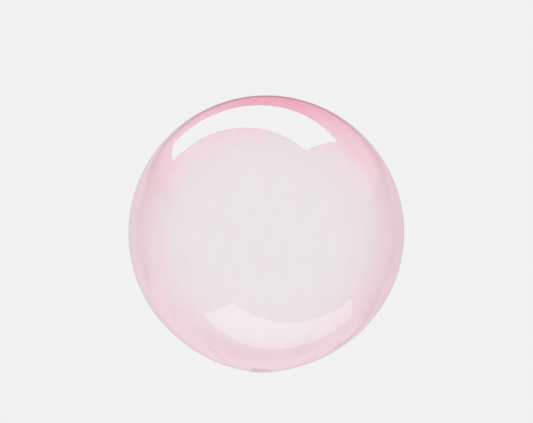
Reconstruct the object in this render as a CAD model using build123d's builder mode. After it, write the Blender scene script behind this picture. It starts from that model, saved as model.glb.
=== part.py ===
"""Clear pink film balloon: a blown film sphere, drawn down into a flat filling neck that holds a self-sealing valve.

Row frame, in millimetres: the origin is the root of the neck, where a ribbon or clip takes hold, under the
sphere's lower pole. +Z runs up the balloon's axis and the neck is folded back along +Y, flat under the sphere.
"""

import os
from math import cos, hypot, radians

from build123d import *

# Film sphere, as inflated
sphere_radius = 228.5
stretched_film = 0.05  # the film thins as the sphere is blown up
draw_angle = 7.0  # half-width of the shallow cone that runs down to the neck, seen from the sphere's centre
cone_tip_height = 0.6  # the cone's point, above the root of the neck

# Filling neck, a flat tube of the same film
neck_width = 35.0
neck_length = 65.0
neck_film = 0.1  # the neck isn't blown up, so its film keeps its thickness
neck_gap = 0.42  # between the two sides of the flattened tube

# Crease, where the neck folds under the sphere's throat
crease_reach = 0.5  # from the crease line to the neck's inner end
crease_gap = 0.05  # between the throat and the neck's inner corners as the neck swings round

# Self-sealing valve, two plies of thin film welded to each other along both sides
valve_film = 0.06
valve_side_margin = 3.5  # from each side of the neck
valve_inner_margin = 10.0  # from the neck's inner end
mouth_weld_width = 3.0
inner_weld_width = 7.0  # the welds widen inwards, so the channel between them narrows

neck_thickness = neck_gap + 2 * neck_film
neck_bore_width = neck_width - 2 * neck_film
neck_mid_height = -hypot(crease_reach, neck_thickness / 2) - crease_gap
neck_mouth = crease_reach + neck_length
throat_top = cone_tip_height + neck_width / 2  # inside the sphere, above where the throat meets the cone
sphere_centre_height = cone_tip_height + sphere_radius / cos(radians(draw_angle))
valve_half_width = neck_width / 2 - valve_side_margin
valve_inner_end = crease_reach + valve_inner_margin
valve_length = neck_mouth - valve_inner_end


def sphere_and_cone(radius):
    """The sphere with its tangent cone, filled, for a film surface at this radius."""
    with BuildPart() as filled:
        with BuildSketch(Plane.XZ):
            with BuildLine():
                side = CenterArc((0, sphere_centre_height), radius, draw_angle - 90, 180 - draw_angle)
                tip = (0, sphere_centre_height - radius / cos(radians(draw_angle)))
                Line(side @ 0, tip)
                Line(tip, side @ 1)
            make_face()
        revolve(axis=Axis.Z)
    return filled.part


def throat(width, thickness):
    """The neck's flat section, filled, from the root up into the sphere."""
    with BuildPart() as filled:
        with BuildSketch():
            SlotOverall(width, thickness)
        extrude(amount=throat_top)
    return filled.part


with BuildPart() as envelope:
    add(sphere_and_cone(sphere_radius))
    add(throat(neck_width, neck_thickness))
    add(sphere_and_cone(sphere_radius - stretched_film), mode=Mode.SUBTRACT)
    add(throat(neck_bore_width, neck_gap), mode=Mode.SUBTRACT)

with BuildPart() as neck:
    with BuildSketch(Plane.XZ.offset(-neck_mouth)):
        with Locations((0, neck_mid_height)):
            SlotOverall(neck_width, neck_thickness)
            SlotOverall(neck_bore_width, neck_gap, mode=Mode.SUBTRACT)
    extrude(amount=neck_length)

# The lower ply fills its half of the flat neck, less its half of the channel
with BuildPart() as valve_lower_ply:
    with BuildSketch(Plane.XY.offset(neck_mid_height)):
        with Locations((0, (valve_inner_end + neck_mouth) / 2)):
            Rectangle(2 * valve_half_width, valve_length)
    extrude(amount=-neck_gap / 2)
    with BuildSketch(Plane.XY.offset(neck_mid_height)):
        with BuildLine():
            mouth_side = valve_half_width - mouth_weld_width
            inner_side = valve_half_width - inner_weld_width
            mouth_edge = Line((mouth_side, neck_mouth), (-mouth_side, neck_mouth))
            inner_edge = Line((-inner_side, valve_inner_end), (inner_side, valve_inner_end))
            Line(mouth_edge @ 1, inner_edge @ 0)
            Line(inner_edge @ 1, mouth_edge @ 0)
        make_face()
    extrude(amount=valve_film - neck_gap / 2, mode=Mode.SUBTRACT)

with BuildPart() as valve_upper_ply:
    mirror(valve_lower_ply.part, about=Plane.XY.offset(neck_mid_height))

pieces = {
    "envelope": envelope,
    "neck": neck,
    "valve_lower_ply": valve_lower_ply,
    "valve_upper_ply": valve_upper_ply,
}
os.makedirs("parts", exist_ok=True)
for name, piece in pieces.items():
    piece.part.label = name
    export_step(piece.part, f"parts/{name}.step")
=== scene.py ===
"""Clear pink film balloon in a plain white studio: the blown film sphere, its folded neck, the crease between them
and the two-ply valve in the neck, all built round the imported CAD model. Metres, Z up, the camera looks along +Y."""

import math
import random

import bpy
from mathutils import Matrix, Vector


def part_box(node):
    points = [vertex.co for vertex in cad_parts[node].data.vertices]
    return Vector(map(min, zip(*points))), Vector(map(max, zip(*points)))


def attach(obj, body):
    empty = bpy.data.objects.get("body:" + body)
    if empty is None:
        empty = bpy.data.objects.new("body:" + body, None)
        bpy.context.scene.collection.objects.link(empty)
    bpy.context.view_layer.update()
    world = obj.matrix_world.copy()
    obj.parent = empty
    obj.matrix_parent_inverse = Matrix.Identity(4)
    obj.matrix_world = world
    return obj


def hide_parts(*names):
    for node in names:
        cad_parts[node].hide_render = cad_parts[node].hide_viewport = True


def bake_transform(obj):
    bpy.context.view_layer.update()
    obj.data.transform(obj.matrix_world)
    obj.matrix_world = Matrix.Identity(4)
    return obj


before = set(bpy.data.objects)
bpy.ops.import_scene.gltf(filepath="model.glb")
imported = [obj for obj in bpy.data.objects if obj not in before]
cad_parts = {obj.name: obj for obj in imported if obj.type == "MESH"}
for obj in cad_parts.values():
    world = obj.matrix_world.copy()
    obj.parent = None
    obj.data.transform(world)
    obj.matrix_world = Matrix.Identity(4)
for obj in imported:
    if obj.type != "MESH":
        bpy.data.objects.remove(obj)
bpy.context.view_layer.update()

MM = 0.001

# Sizes that part.py has too; the rest comes from the frame
STRETCHED_FILM = 0.05 * MM
NECK_FILM = 0.1 * MM
VALVE_FILM = 0.06 * MM
DRAW_ANGLE = math.radians(7.0)  # half-width of the cone under the sphere
MOUTH_WELD = 3.0 * MM
INNER_WELD = 7.0 * MM

envelope_low, envelope_high = (Vector(corner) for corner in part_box("envelope"))
neck_low, neck_high = (Vector(corner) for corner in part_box("neck"))
ply_low, ply_high = (Vector(corner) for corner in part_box("valve_lower_ply"))
RADIUS = (envelope_high.x - envelope_low.x) / 2
CENTRE = Vector((0, 0, envelope_high.z - RADIUS))
NECK_HALF_WIDTH = neck_high.x
NECK_HALF_THICKNESS = (neck_high.z - neck_low.z) / 2
NECK_MID = (neck_high.z + neck_low.z) / 2
NECK_START = neck_low.y
NECK_MOUTH = neck_high.y


# ---------------------------------------------------------------- mesh helpers

def smoothstep(low, high, value):
    t = min(max((value - low) / (high - low), 0), 1)
    return t * t * (3 - 2 * t)


def lerp(a, b, t):
    return a + (b - a) * t


def new_piece(name, verts, faces, materials, face_material=None):
    """A smooth-shaded mesh object; face_material gives each face's place in the list of materials."""
    mesh = bpy.data.meshes.new(name)
    mesh.from_pydata([tuple(v) for v in verts], [], faces)
    for material in materials:
        mesh.materials.append(material)
    if face_material:
        mesh.polygons.foreach_set("material_index", face_material)
    mesh.shade_smooth()
    mesh.validate()
    piece = bpy.data.objects.new(name, mesh)
    bpy.context.scene.collection.objects.link(piece)
    return piece


def ring_faces(first, count, rings, flip=False):
    """Quads between rings of count points each, one ring after another from the point numbered first."""
    faces = []
    for ring in range(rings - 1):
        for i in range(count):
            j = (i + 1) % count
            a, b = first + ring * count, first + (ring + 1) * count
            quad = (a + i, a + j, b + j, b + i)
            faces.append(quad[::-1] if flip else quad)
    return faces


# ---------------------------------------------------------------- materials

def put(tree, kind, inputs=None, **settings):
    """A node with its settings, and with its inputs set to values or linked to sockets."""
    node = tree.nodes.new("ShaderNode" + kind)
    for key, value in settings.items():
        setattr(node, key, value)
    for key, value in (inputs or {}).items():
        if isinstance(value, bpy.types.NodeSocket):
            tree.links.new(value, node.inputs[key])
        else:
            node.inputs[key].default_value = value
    return node


def sums(tree, operation, a, b=0.0, **settings):
    return put(tree, "Math", {0: a, 1: b}, operation=operation, **settings).outputs[0]


BENT_SHARE = 0.01  # of the light through the film
GRAIN_SCALE = 900.0
GRAIN_HEIGHT = 0.2 * MM
# How much of red, green and blue one layer of stretched film lets through
FILM_CLEAR = (0.9992, 0.9685, 0.9775)
# Thick film: the way to it from the sphere's centre, how sharply it thins, and the extra layers there
THICK_FILM = [
    (Vector((0.03, 0.0, 1.0)), 5.0, 2.6),
    (Vector((-0.71, -0.58, 0.40)), 45.0, 0.8),
    (Vector((0.69, -0.48, 0.54)), 25.0, 0.45),
]


def film_material(name, layers, gloss, roughness, edge_gain=4.35, draw=True, gathered=False, bump=0.0):
    """Clear dyed film. Light that meets a front face is dyed and partly mirrored, and a back face lets it all
    through, so a wall with two faces counts once. layers is the wall's thickness in stretched films."""
    material = bpy.data.materials.new(name)
    material.use_nodes = True
    tree = material.node_tree
    tree.nodes.clear()
    place = put(tree, "TexCoord").outputs["Object"]
    facing = put(tree, "LayerWeight", {"Blend": 0.5}).outputs["Facing"]

    # The film is seen through more of itself as it turns edge on
    slanted = put(tree, "MapRange", {"Value": facing, 1: 0.08, 2: 0.66, 3: 1.0, 4: edge_gain},
                  interpolation_type="SMOOTHSTEP").outputs[0]
    edge_on = put(tree, "MapRange", {"Value": facing, 1: 0.6, 2: 0.85, 3: 1.0, 4: 1.12},
                  interpolation_type="SMOOTHSTEP").outputs[0]
    path = sums(tree, "MULTIPLY", slanted, edge_on)
    thickness = layers
    if draw:
        thickness = drawn_thickness(tree, place, layers)
    if gathered:
        # the film is bunched towards the left of the neck
        across = put(tree, "SeparateXYZ", {"Vector": place}).outputs["X"]
        thickness = put(tree, "MapRange", {"Value": across, 1: -0.2 * NECK_HALF_WIDTH, 2: 0.8 * NECK_HALF_WIDTH,
                                           3: layers, 4: layers * 0.25}, interpolation_type="SMOOTHSTEP").outputs[0]
    density = sums(tree, "MULTIPLY", path, thickness)
    channels = [sums(tree, "POWER", share, density) for share in FILM_CLEAR]
    dye = put(tree, "CombineColor", dict(zip(("Red", "Green", "Blue"), channels))).outputs[0]

    # Mirror strength of a film: both faces reflect
    grazing = put(tree, "Math", {0: sums(tree, "POWER", facing, 5.0), 1: 0.46, 2: 0.04},
                  operation="MULTIPLY_ADD").outputs[0]
    skimming = put(tree, "MapRange", {"Value": facing, 1: 0.79, 2: 0.97, 4: 0.6}, interpolation_type="SMOOTHSTEP")
    one_face = sums(tree, "ADD", grazing, skimming.outputs[0])
    both = sums(tree, "DIVIDE", sums(tree, "MULTIPLY", one_face, 2.0), sums(tree, "ADD", one_face, 1.0))
    mirror = sums(tree, "MULTIPLY", both, gloss)

    # Thin film hardly bends light: a little of it goes through a refracting shader, the rest straight on
    straight = put(tree, "BsdfTransparent", {"Color": dye}).outputs[0]
    bent = put(tree, "BsdfRefraction", {"Color": dye, "Roughness": 0.0, "IOR": 1.1}).outputs[0]
    clear = put(tree, "MixShader", {0: BENT_SHARE, 1: straight, 2: bent}).outputs[0]
    # Half of the mirrored light comes from the far face, dyed on its way in and out
    twice = put(tree, "Mix", {6: dye, 7: dye}, data_type="RGBA", blend_type="MULTIPLY", clamp_factor=True)
    twice.inputs[0].default_value = 1.0
    half = put(tree, "Mix", {6: (1, 1, 1, 1), 7: twice.outputs[2]}, data_type="RGBA").outputs[2]
    shine_inputs = {"Color": half, "Roughness": roughness}
    if bump:
        grain = put(tree, "TexNoise", {"Vector": place, "Scale": GRAIN_SCALE, "Detail": 2.0}).outputs[0]
        lift = put(tree, "Bump", {"Height": grain, "Strength": bump, "Distance": GRAIN_HEIGHT}).outputs[0]
        shine_inputs["Normal"] = lift
    shine = put(tree, "BsdfAnisotropic", shine_inputs).outputs[0]
    film = put(tree, "MixShader", {0: mirror, 1: clear, 2: shine}).outputs[0]
    behind = put(tree, "BsdfTransparent", {"Color": (1, 1, 1, 1)}).outputs[0]
    back = put(tree, "NewGeometry").outputs["Backfacing"]
    whole = put(tree, "MixShader", {0: back, 1: film, 2: behind}).outputs[0]
    put(tree, "OutputMaterial", {"Surface": whole})
    return material


def drawn_thickness(tree, place, layers):
    """Thickness over the sphere: the film is thicker at the top and in a few spots, and streaky up and down where it
    was drawn."""
    thickness = 1.0
    for direction, sharpness, extra in THICK_FILM:
        along = put(tree, "VectorMath", {0: place, 1: direction / RADIUS}, operation="DOT_PRODUCT").outputs["Value"]
        near = sums(tree, "SUBTRACT", along, CENTRE.dot(direction) / RADIUS)
        over = sums(tree, "POWER", sums(tree, "MAXIMUM", near, 0.0), sharpness)
        thickness = sums(tree, "ADD", sums(tree, "MULTIPLY", over, extra), thickness)

    flat = put(tree, "VectorMath", {0: place, 1: (1, 1, 0)}, operation="MULTIPLY").outputs[0]
    around = put(tree, "VectorMath", {0: flat}, operation="NORMALIZE").outputs[0]
    stretched = put(tree, "VectorMath", {0: place, 1: (0, 0, 2.0), 2: around}, operation="MULTIPLY_ADD").outputs[0]
    streak = put(tree, "TexNoise", {"Vector": stretched, "Scale": 9.0, "Detail": 4.0}).outputs[0]
    uneven = put(tree, "MapRange", {"Value": streak, 1: 0.3, 2: 0.7, 3: 0.8, 4: 1.2}).outputs[0]
    return sums(tree, "MULTIPLY", sums(tree, "MULTIPLY", thickness, uneven), layers)


outer_film = film_material("stretched_film_outer", layers=1.0, gloss=1.0, roughness=0.0)
inner_film = film_material("stretched_film_inner", layers=1.0, gloss=0.26, roughness=0.04)
neck_film = film_material("neck_film", layers=4.5, gloss=0.6, roughness=0.05, edge_gain=2.0,
                          draw=False, gathered=True, bump=0.2)
valve_film = film_material("valve_film", layers=0.8, gloss=0.6, roughness=0.2, edge_gain=1.0, draw=False, bump=0.5)


# ---------------------------------------------------------------- film sphere

# Pleats where the film is gathered into the neck: azimuth, reach up the sphere, half-width, and how far the film
# stands out for each metre of half-width
PLEAT_SEED = 11
ROOT_POLAR = math.radians(4.6)  # where the round film starts to flatten into the throat
random.seed(PLEAT_SEED)
LONG_PLEATS = [
    (math.radians(228), math.radians(36), math.radians(1.3), 0.36),
    (math.radians(328), math.radians(30), math.radians(1.2), 0.36),
    (math.radians(318), math.radians(22), math.radians(0.9), 0.14),
    (math.radians(74), math.radians(26), math.radians(0.9), 0.14),
]
SHORT_PLEATS = [
    (math.radians(i * 15 + random.uniform(-5, 5)), math.radians(random.uniform(4, 11)),
     math.radians(random.uniform(3, 5)), random.uniform(0.1, 0.3))
    for i in range(24)
]
# Tucks, where a little film stays folded flat on itself: azimuth and polar angle of each end, half-width
TUCKS = [
    (math.radians(237), math.radians(18), math.radians(226), math.radians(48), 1.0 * MM),
    (math.radians(305), math.radians(12), math.radians(336), math.radians(37), 1.0 * MM),
]
TUCK_LIFT = 0.06 * MM  # clear of the film underneath
TUCK_RISE = 0.25 * MM
# Broad unevenness of the blown sphere: direction from its centre, angular radius, and how far it stands out
SWELLS = [
    (Vector((-0.17, 0.0, -0.98)), math.radians(13), 1.9 * MM),
    (Vector((0.12, 0.0, -0.99)), math.radians(9), 1.1 * MM),
    (Vector((0.57, 0.0, -0.82)), math.radians(20), -1.7 * MM),
    (Vector((-0.68, 0.0, -0.73)), math.radians(14), -0.6 * MM),
    (Vector((0.96, 0.0, 0.27)), math.radians(18), 0.6 * MM),
    (Vector((0.85, 0.0, -0.53)), math.radians(12), -0.9 * MM),
    (Vector((0.2, 0.9, 0.3)), math.radians(35), -0.8 * MM),
]


def pleat_lift(azimuth, polar):
    """How far the film stands out at this azimuth and polar angle from the bottom."""
    lift = 0.0
    for at, reach, width, slope in LONG_PLEATS + SHORT_PLEATS:
        turn = (azimuth - at + math.pi) % (2 * math.pi) - math.pi
        half_width = RADIUS * math.sin(polar + ROOT_POLAR) * width
        lift += slope * half_width * math.exp(-(turn / width) ** 2 - (polar / reach) ** 2)
    return lift


def swell_lift(direction):
    return sum(out * math.exp(-(direction.angle(at) / spread) ** 2) for at, spread, out in SWELLS)


def sphere_azimuths():
    """Columns round the sphere, closer together beside the long pleats."""
    angles = {round(math.radians(i * 2.25), 6) for i in range(160)}
    for at, _, width, _ in LONG_PLEATS:
        for step in range(-6, 7):
            angles.add(round((at + step * width * 0.4) % (2 * math.pi), 6))
    return sorted(angles)


def film_point(azimuth, polar, inset):
    """A point of the film; polar runs from 0 at the neck's root to pi at the top, inset goes into the film."""
    direction = Vector((math.sin(polar) * math.cos(azimuth), math.sin(polar) * math.sin(azimuth), -math.cos(polar)))
    radius = RADIUS
    if polar < DRAW_ANGLE:
        # the tangent cone that runs down to the root
        radius = RADIUS / math.cos(DRAW_ANGLE - polar)
    pleats = pleat_lift(azimuth, polar) * smoothstep(0, 0.05, polar)
    swells = swell_lift(direction) * smoothstep(0.02, 0.09, polar)
    return CENTRE + direction * (radius + pleats + swells - inset)


def throat_point(azimuth, level, inset):
    """A point of the flat throat's section at this height."""
    return Vector((
        (NECK_HALF_WIDTH - inset) * math.cos(azimuth),
        (NECK_HALF_THICKNESS - inset) * math.sin(azimuth),
        level,
    ))


def build_tuck(start_azimuth, start, end_azimuth, end, half_width, first):
    """A closed sliver of folded film on the sphere, tapering to both ends, as vertices and faces numbered from
    first. Each section is its left edge, ridge, right edge and underside."""
    steps = 40
    verts, faces = [], []
    for i in range(steps + 1):
        t = i / steps
        polar = lerp(start, end, t)
        azimuth = lerp(start_azimuth, end_azimuth, t)
        taper = math.sin(math.pi * (0.02 + 0.96 * t))
        turn = half_width * taper / (RADIUS * math.sin(polar))
        wander = 0.25 * half_width * math.sin(9 * t) / (RADIUS * math.sin(polar))
        for side, lift in ((-1, 0.0), (0, TUCK_RISE * taper), (1, 0.0), (0, -0.5 * TUCK_LIFT)):
            verts.append(film_point(azimuth + wander + side * turn, polar, -TUCK_LIFT - lift))
    for i in range(steps):
        for side in range(4):
            a, b = first + 4 * i + side, first + 4 * i + (side + 1) % 4
            faces.append((a, b, b + 4, a + 4))
    last = first + 4 * steps
    faces.append((first + 3, first + 2, first + 1, first))
    faces.append((last, last + 1, last + 2, last + 3))
    return verts, faces


def build_envelope():
    """The film sphere with its cone and throat, as a closed thin wall: an outer and an inner skin, joined at the
    throat's open end."""
    azimuths = sphere_azimuths()
    count = len(azimuths)
    polars = [lerp(ROOT_POLAR, DRAW_ANGLE * 1.6, i / 14) for i in range(14)]
    polars += [lerp(DRAW_ANGLE * 1.6, math.pi, i / 96) for i in range(96)]
    flattening = 12
    verts, faces, skins, starts = [], [], [], []
    for skin, flip in ((0, True), (1, False)):
        first = len(verts)
        starts.append(first)
        for step in range(flattening):
            t = step / flattening
            film = lerp(NECK_FILM, STRETCHED_FILM, t) * skin
            for azimuth in azimuths:
                low = throat_point(azimuth, 0.0, film)
                high = film_point(azimuth, ROOT_POLAR, film)
                point = low.lerp(high, smoothstep(0, 1, t) * 0.35 + t * 0.65)
                fold = pleat_lift(azimuth, 0.0) * math.sin(math.pi * t) * 0.6
                point.z = lerp(low.z, high.z, t ** 0.8) - fold
                verts.append(point)
        for polar in polars:
            verts += [film_point(azimuth, polar, STRETCHED_FILM * skin) for azimuth in azimuths]
        rings = flattening + len(polars)
        side = ring_faces(first, count, rings, flip=not flip)
        pole = len(verts)
        verts.append(film_point(0.0, math.pi, STRETCHED_FILM * skin))
        last = first + (rings - 1) * count
        for i in range(count):
            cap = (last + i, last + (i + 1) % count, pole)
            side.append(cap if flip else cap[::-1])
        faces += side
        skins += [skin] * len(side)
    outer_first, inner_first = starts
    for i in range(count):
        j = (i + 1) % count
        faces.append((outer_first + i, inner_first + i, inner_first + j, outer_first + j))
        skins.append(0)
    for tuck in TUCKS:
        tuck_verts, tuck_faces = build_tuck(*tuck, first=len(verts))
        verts += tuck_verts
        faces += tuck_faces
        skins += [0] * len(tuck_faces)
    return new_piece("film_envelope", verts, faces, [outer_film, inner_film], skins)


envelope = build_envelope()
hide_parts("envelope")
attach(envelope, "envelope")


# ---------------------------------------------------------------- neck

def section(half_width, half_thickness, arc_steps=5, flat_steps=48):
    """Points round a flat slot, counterclockwise, as (across, up)."""
    points = []
    straight = half_width - half_thickness
    for side in (1, -1):
        for i in range(arc_steps + 1):
            angle = math.pi * (i / arc_steps - 0.5)
            points.append((side * (straight + half_thickness * math.cos(angle)),
                           side * half_thickness * math.sin(angle)))
        for i in range(1, flat_steps):
            points.append((side * (straight - 2 * straight * i / flat_steps), side * half_thickness))
    return points


LONG_WAVE, CROSS_WAVE, CRINKLE = 0.45 * MM, 0.25 * MM, 0.16 * MM  # how far each of the neck's waves stands out
LOOSE_FROM_CREASE = 25 * MM


def neck_wave(x, y):
    """How far the loose neck stands off its plane: flat at the crease, wavier towards the mouth."""
    loose = smoothstep(NECK_START, NECK_START + LOOSE_FROM_CREASE, y)
    long_wave = LONG_WAVE * math.sin(y / (9 * MM) + 0.6) * math.cos(x / (16 * MM) + 0.4)
    cross_wave = CROSS_WAVE * math.sin(x / (5.5 * MM) + y / (14 * MM))
    crinkle = CRINKLE * math.sin(x / (2.3 * MM) + 0.9 * math.sin(y / (12 * MM)))
    return (long_wave + cross_wave + crinkle) * loose


def tube_piece(name, frames, film, material):
    """A thin-walled flat tube through the frames, each (centre, up) for one section across X."""
    outer = section(NECK_HALF_WIDTH, NECK_HALF_THICKNESS)
    inner = section(NECK_HALF_WIDTH - film, NECK_HALF_THICKNESS - film)
    count = len(outer)
    verts, faces = [], []
    for shape, flip in ((outer, True), (inner, False)):
        first = len(verts)
        for centre, up in frames:
            for across, rise in shape:
                verts.append(centre + Vector((across, 0, 0)) + up * rise)
        faces += ring_faces(first, count, len(frames), flip=flip)
    inner_first = count * len(frames)
    for ring, flip in ((0, False), (len(frames) - 1, True)):
        for i in range(count):
            j = (i + 1) % count
            a, b = ring * count, inner_first + ring * count
            quad = (a + i, a + j, b + j, b + i)
            faces.append(quad[::-1] if flip else quad)
    return new_piece(name, verts, faces, [material])


def build_neck():
    steps = 52
    frames = []
    for i in range(steps + 1):
        y = lerp(NECK_START, NECK_MOUTH, i / steps)
        frames.append((Vector((0, y, NECK_MID)), Vector((0, 0, 1))))
    neck = tube_piece("film_neck", frames, NECK_FILM, neck_film)
    for vert in neck.data.vertices:
        vert.co.z += neck_wave(vert.co.x, vert.co.y)
    return neck


neck = build_neck()
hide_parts("neck")
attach(neck, "neck")


def build_crease():
    """The same tube, bent a quarter turn from the throat's end down and back into the neck."""
    bend = NECK_START
    drop = NECK_MID + bend
    steps = 8
    frames = [(Vector((0, 0, 0)), Vector((0, 1, 0)))]
    for i in range(steps + 1):
        angle = math.pi / 2 * i / steps
        centre = Vector((0, bend * (1 - math.cos(angle)), drop - bend * math.sin(angle)))
        frames.append((centre, Vector((0, math.cos(angle), math.sin(angle)))))
    return tube_piece("film_crease", frames, NECK_FILM, neck_film)


crease = build_crease()
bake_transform(crease)


# ---------------------------------------------------------------- valve

PLY_CLEARANCE = 0.02 * MM  # between a ply and the neck's film, and between the plies in a weld
PLY_CORNER = 3 * MM


def build_ply(name, side):
    """One ply; side is -1 for the lower and 1 for the upper. It lies on the neck's film over the channel and dips
    to meet the other ply along the two welds."""
    half_width = ply_high.x
    start, mouth = ply_low.y, ply_high.y
    clear = PLY_CLEARANCE
    on_neck = NECK_HALF_THICKNESS - NECK_FILM - clear
    in_weld = VALVE_FILM + clear / 2
    across_steps, along_steps = 56, 60
    corner = PLY_CORNER
    verts, faces = [], []
    for film in (0.0, VALVE_FILM):
        for j in range(along_steps + 1):
            y = lerp(start, mouth, j / along_steps)
            t = (y - start) / (mouth - start)
            weld = lerp(INNER_WELD, MOUTH_WELD, t)
            from_end = y - start
            pull = 0.0
            if from_end < corner:
                pull = corner - math.sqrt(corner ** 2 - (corner - from_end) ** 2)
            for i in range(across_steps + 1):
                x = lerp(-half_width + pull, half_width - pull, i / across_steps)
                inside = half_width - weld - abs(x)
                open_share = smoothstep(-0.2 * MM, 0.9 * MM, inside)
                level = lerp(in_weld, on_neck, open_share) - film
                verts.append(Vector((x, y, NECK_MID + side * level + neck_wave(x, y))))
    row = across_steps + 1
    layer = row * (along_steps + 1)
    flip_outer = side < 0
    for first, flip in ((0, flip_outer), (layer, not flip_outer)):
        for j in range(along_steps):
            for i in range(across_steps):
                a = first + j * row + i
                quad = (a, a + 1, a + row + 1, a + row)
                faces.append(quad[::-1] if flip else quad)
    edge = list(range(row))
    edge += [j * row + across_steps for j in range(1, along_steps + 1)]
    edge += [along_steps * row + i for i in range(across_steps - 1, -1, -1)]
    edge += [j * row for j in range(along_steps - 1, 0, -1)]
    for a, b in zip(edge, edge[1:] + edge[:1]):
        quad = (a, a + layer, b + layer, b)
        faces.append(quad[::-1] if flip_outer else quad)
    return new_piece(name, verts, faces, [valve_film])


for node, side in (("valve_lower_ply", -1), ("valve_upper_ply", 1)):
    ply = build_ply("film_" + node, side)
    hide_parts(node)
    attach(ply, "neck")


# ---------------------------------------------------------------- studio

# The balloon is meant to be seen leaning a little, with its neck to the left. The frame stands upright, so the
# camera and the lights lean the other way, about the line of sight through the sphere's centre.
LEAN = math.radians(-2.05)
RIG = Matrix.Translation(CENTRE) @ Matrix.Rotation(LEAN, 4, "Y") @ Matrix.Translation(-CENTRE)

ROOM_LIGHT = 0.3
ROOM_HIGH_BEHIND = 0.87
WHITE_LEVEL = 0.887  # the studio's white, as scene light: everything brighter is shown as this
FLOOR_DROP = 1.6  # the balloon floats this far above the floor
FLOOR_SIZE = 12.0


def floor_material():
    """White paper: as pale as the room to the camera, and lit by the softbox for everything else."""
    material = bpy.data.materials.new("floor_paper")
    material.use_nodes = True
    tree = material.node_tree
    tree.nodes.clear()
    seen = put(tree, "LightPath").outputs["Is Camera Ray"]
    paper = put(tree, "BsdfDiffuse", {"Color": (0.5, 0.5, 0.5, 1)}).outputs[0]
    pale = put(tree, "Emission", {"Color": (1, 1, 1, 1), "Strength": WHITE_LEVEL}).outputs[0]
    whole = put(tree, "MixShader", {0: seen, 1: paper, 2: pale}).outputs[0]
    put(tree, "OutputMaterial", {"Surface": whole})
    return material


def build_floor():
    half = FLOOR_SIZE / 2
    level = envelope_low.z - FLOOR_DROP
    verts = [(-half, -half, level), (half, -half, level), (half, half, level), (-half, half, level)]
    floor = new_piece("studio_floor", verts, [(0, 1, 2, 3)], [floor_material()])


# White card behind the balloon, dark rails along two of its edges and lit paper under it, which only the film's
# reflections show. Places are from the sphere's centre; the card's edges are shares of its distance.
CARD_AWAY = 2.5
CARD_LEFT, CARD_RIGHT, CARD_LOW, CARD_TOP = -1.5, 1.04, -0.5, 0.38
CARD_LIGHT = 0.72
CARD_FADE = (-1.35, -0.7)  # its light comes up between these, from the left
CARD_DIMMING = (0.3, 1.0)  # and falls to CARD_DIM between these
CARD_DIM = 0.52
RAIL_WIDTH = 0.045
RAIL_LIGHT = 0.12
PAPER_LEFT, PAPER_RIGHT, PAPER_NEAR = -6.0, 2.6, 0.4
PAPER_LIGHT = 0.85


def build_reflector(name, corners, light, fades=()):
    """A glowing sheet that only reflections see. Each fade is an axis, the two places between which its light
    changes, and the light before and after; the least of them counts."""
    material = bpy.data.materials.new(name)
    material.use_nodes = True
    tree = material.node_tree
    tree.nodes.clear()
    strength = light
    for axis, start, end, before, after in fades:
        place = put(tree, "SeparateXYZ", {"Vector": put(tree, "TexCoord").outputs["Object"]}).outputs[axis]
        level = put(tree, "MapRange", {"Value": place, 1: start, 2: end, 3: before, 4: after},
                    interpolation_type="SMOOTHSTEP").outputs[0]
        strength = sums(tree, "MINIMUM", strength, level)
    glow = put(tree, "Emission", {"Color": (1, 1, 1, 1), "Strength": strength}).outputs[0]
    put(tree, "OutputMaterial", {"Surface": glow})
    sheet = new_piece(name, [RIG @ (CENTRE + Vector(corner)) for corner in corners], [(0, 1, 2, 3)], [material])
    sheet.visible_camera = False
    sheet.visible_shadow = False
    sheet.visible_diffuse = False


def upright(left, right, low, high):
    """Corners of an upright sheet at the card's distance, from edges that are shares of that distance."""
    away = CARD_AWAY
    corners = ((left, low), (right, low), (right, high), (left, high))
    return [(across * away, away, up * away) for across, up in corners]


def build_backdrop():
    left, right, low, top, rail = CARD_LEFT, CARD_RIGHT, CARD_LOW, CARD_TOP, RAIL_WIDTH
    fades = [("X", *(share * CARD_AWAY for share in CARD_FADE), ROOM_LIGHT, CARD_LIGHT),
             ("X", *(share * CARD_AWAY for share in CARD_DIMMING), CARD_LIGHT, CARD_DIM)]
    build_reflector("studio_card", upright(left, right, low, top), CARD_LIGHT, fades)
    build_reflector("studio_rail_right", upright(right, right + rail, low - rail, top + rail), RAIL_LIGHT)
    build_reflector("studio_rail_low", upright(0.2, right, low - rail, low), RAIL_LIGHT)
    level = envelope_low.z - FLOOR_DROP - CENTRE.z + 0.2
    paper = [(PAPER_LEFT, PAPER_NEAR, level), (PAPER_RIGHT, PAPER_NEAR, level),
             (PAPER_RIGHT, 2 * CARD_AWAY, level), (PAPER_LEFT, 2 * CARD_AWAY, level)]
    build_reflector("studio_paper", paper, PAPER_LIGHT, [
        ("Y", PAPER_NEAR, 1.8, ROOM_LIGHT, PAPER_LIGHT),
        ("X", PAPER_LEFT, -1.5, ROOM_LIGHT, PAPER_LIGHT),
        ("X", 1.0, PAPER_RIGHT, PAPER_LIGHT, ROOM_LIGHT),
    ])


# Softbox above and behind: height over the sphere's centre, then its centre and sides as shares of that height
SOFTBOX_HEIGHT = 1.45
SOFTBOX_PLACE = (-0.2911, 0.4565)
SOFTBOX_SIDES = (2.0102, 0.6528)
SOFTBOX_TURN = (0.0043, 0.0275, -0.4564)
SOFTBOX_RADIANCE = 5.0


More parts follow.
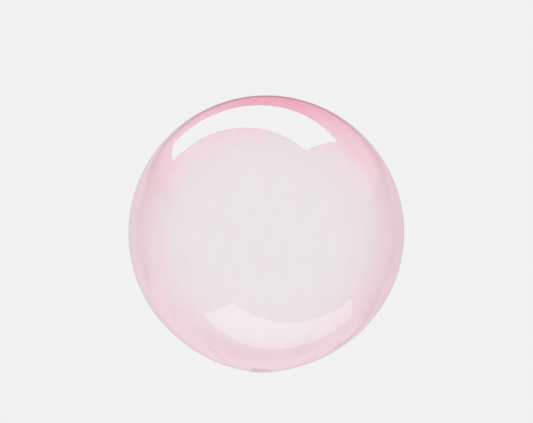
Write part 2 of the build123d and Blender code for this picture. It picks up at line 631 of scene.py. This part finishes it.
def build_softbox():
    light = bpy.data.lights.new("softbox", "AREA")
    light.shape = "RECTANGLE"
    light.size, light.size_y = (side * SOFTBOX_HEIGHT for side in SOFTBOX_SIDES)
    light.energy = SOFTBOX_RADIANCE * math.pi * light.size * light.size_y
    softbox = bpy.data.objects.new("softbox", light)
    across, back = (share * SOFTBOX_HEIGHT for share in SOFTBOX_PLACE)
    softbox.location = CENTRE + Vector((across, back, SOFTBOX_HEIGHT))
    softbox.rotation_euler = SOFTBOX_TURN
    softbox.matrix_world = RIG @ softbox.matrix_basis
    softbox.visible_camera = False
    bpy.context.scene.collection.objects.link(softbox)


def build_room():
    """Pale all round where the camera looks; in reflections, dim but for the upper part behind the balloon."""
    world = bpy.data.worlds.new("studio_room")
    world.use_nodes = True
    tree = world.node_tree
    tree.nodes.clear()
    towards = put(tree, "TexCoord").outputs["Generated"]
    split = put(tree, "SeparateXYZ", {"Vector": towards})
    back = put(tree, "MapRange", {"Value": split.outputs["Y"], 1: -0.3, 2: 0.3}, interpolation_type="SMOOTHSTEP")
    high = put(tree, "MapRange", {"Value": split.outputs["Z"], 1: 0.3, 2: 0.46}, interpolation_type="SMOOTHSTEP")
    both = sums(tree, "MULTIPLY", back.outputs[0], high.outputs[0])
    level = put(tree, "MapRange", {"Value": both, 3: ROOM_LIGHT, 4: ROOM_HIGH_BEHIND}).outputs[0]
    seen = put(tree, "LightPath").outputs["Is Camera Ray"]
    room = put(tree, "Background", {"Color": (1, 1, 1, 1), "Strength": level}).outputs[0]
    pale = put(tree, "Background", {"Color": (1, 1, 1, 1), "Strength": WHITE_LEVEL}).outputs[0]
    whole = put(tree, "MixShader", {0: seen, 1: room, 2: pale}).outputs[0]
    put(tree, "OutputWorld", {"Surface": whole})
    bpy.context.scene.world = world


CAMERA_AWAY = 3.0
SENSOR = 36.0
FOCAL_LENGTH = 121.85
AIM_OFF = Vector((0.5 * MM, 0, 35.6 * MM))  # the frame's centre, from the sphere's


def build_camera():
    data = bpy.data.cameras.new("camera")
    data.sensor_width = SENSOR
    data.lens = FOCAL_LENGTH
    camera = bpy.data.objects.new("camera", data)
    camera.location = CENTRE + Vector((0, -CAMERA_AWAY, 0))
    aim = CENTRE + AIM_OFF - camera.location
    camera.rotation_euler = aim.to_track_quat("-Z", "Y").to_euler()
    camera.matrix_world = RIG @ camera.matrix_basis
    bpy.context.scene.collection.objects.link(camera)
    bpy.context.scene.camera = camera


def set_exposure():
    """Plain colours, with everything above the white level shown as that level."""
    scene = bpy.context.scene
    scene.view_settings.view_transform = "Standard"
    scene.view_settings.look = "None"
    scene.view_settings.use_curve_mapping = True
    mapping = scene.view_settings.curve_mapping
    mapping.extend = "HORIZONTAL"
    curve = mapping.curves[3]
    curve.points[0].location = (0, 0)
    curve.points[1].location = (1, WHITE_LEVEL)
    knee = curve.points.new(WHITE_LEVEL, WHITE_LEVEL)
    for point in curve.points:
        point.handle_type = "VECTOR"
    knee.handle_type = "VECTOR"
    mapping.update()
    scene.cycles.transparent_max_bounces = 64
    scene.cycles.glossy_bounces = 8


build_floor()
build_backdrop()
build_softbox()
build_room()
build_camera()
set_exposure()
